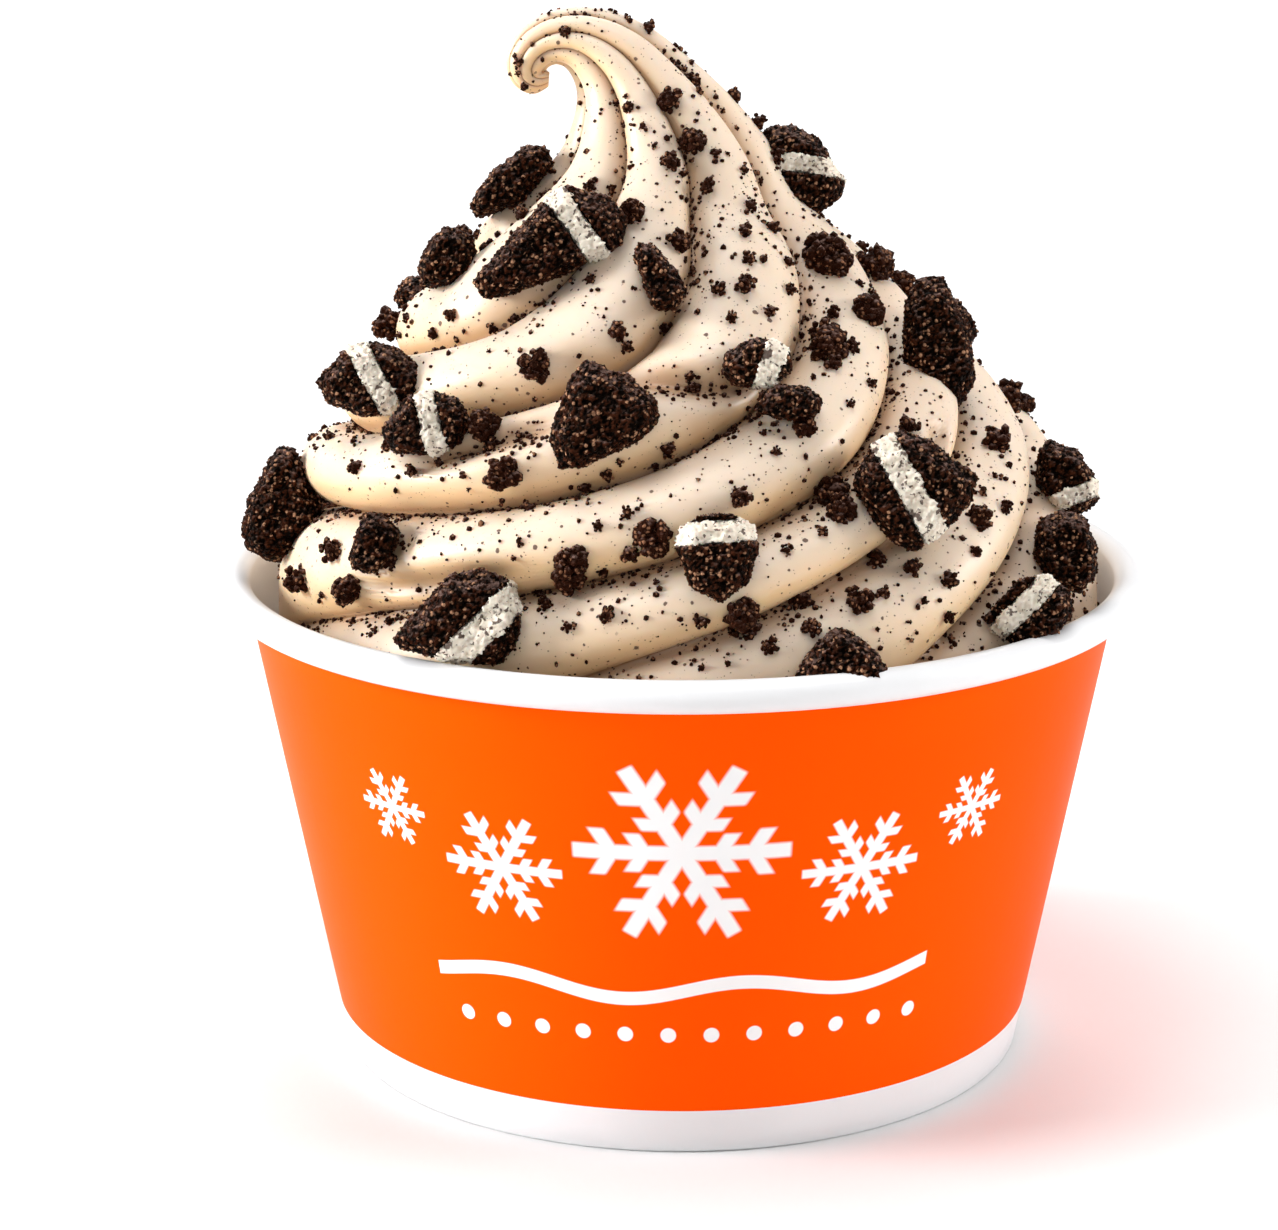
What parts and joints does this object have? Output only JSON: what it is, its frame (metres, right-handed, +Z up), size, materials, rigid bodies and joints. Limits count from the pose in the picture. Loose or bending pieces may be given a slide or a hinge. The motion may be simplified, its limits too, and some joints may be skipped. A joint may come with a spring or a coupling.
{
  "type": "frozen yogurt cup",
  "caption": "Tapered paper cup with a rolled rim, filled with a tall twisted soft-serve swirl that ends in a crook, under broken sandwich cookies and crumbs.",
  "frame": {"origin": "centre of the base circle, on the surface the cup stands on", "axes": "+Z up along the cup's axis, -Y towards the front of the picture, the crook curls towards -X"},
  "size_m": [0.118, 0.118, 0.1334],
  "materials": {
    "paper_orange": "printed coated paper, satin",
    "paper_white": "uncoated white paperboard",
    "yogurt": "smooth frozen yogurt, soft sheen",
    "cookie_dark": "rough broken chocolate wafer",
    "cream_white": "matt sugar cream"
  },
  "bodies": {
    "root": {"cookie_01_cream": "cream_white", "cookie_01_lower": "cookie_dark", "cookie_01_upper": "cookie_dark", "cookie_02_cream": "cream_white", "cookie_02_lower": "cookie_dark", "cookie_02_upper": "cookie_dark", "cookie_03_cream": "cream_white", "cookie_03_lower": "cookie_dark", "cookie_03_upper": "cookie_dark", "cookie_04_cream": "cream_white", "cookie_04_lower": "cookie_dark", "cookie_04_upper": "cookie_dark", "cookie_05_cream": "cream_white", "cookie_05_lower": "cookie_dark", "cookie_05_upper": "cookie_dark", "cookie_06_cream": "cream_white", "cookie_06_lower": "cookie_dark", "cookie_06_upper": "cookie_dark", "cookie_07_cream": "cream_white", "cookie_07_lower": "cookie_dark", "cookie_07_upper": "cookie_dark", "cookie_08_cream": "cream_white", "cookie_08_lower": "cookie_dark", "cookie_08_upper": "cookie_dark", "cookie_09_cream": "cream_white", "cookie_09_lower": "cookie_dark", "cookie_09_upper": "cookie_dark", "cookie_10_cream": "cream_white", "cookie_10_lower": "cookie_dark", "cookie_10_upper": "cookie_dark", "cookie_11": "cookie_dark", "cookie_12": "cookie_dark", "cookie_13": "cookie_dark", "cookie_14": "cookie_dark", "cookie_15": "cookie_dark", "cookie_16": "cookie_dark", "cookie_17": "cookie_dark", "cookie_18": "cookie_dark", "cookie_19": "cookie_dark", "cookie_20": "cookie_dark", "cookie_21_cream": "cream_white", "cookie_21_lower": "cookie_dark", "cookie_21_upper": "cookie_dark", "cookie_22_cream": "cream_white", "cookie_22_lower": "cookie_dark", "cookie_22_upper": "cookie_dark", "cookie_23_cream": "cream_white", "cookie_23_lower": "cookie_dark", "cookie_23_upper": "cookie_dark", "cookie_24": "cookie_dark", "cookie_25": "cookie_dark", "cookie_26": "cookie_dark", "cookie_27": "cookie_dark", "cookie_28": "cookie_dark", "cookie_29": "cookie_dark", "cookie_30": "cookie_dark", "cup_base": "paper_white", "cup_wall": "paper_orange", "froyo": "yogurt"}
  },
  "joints": []
}
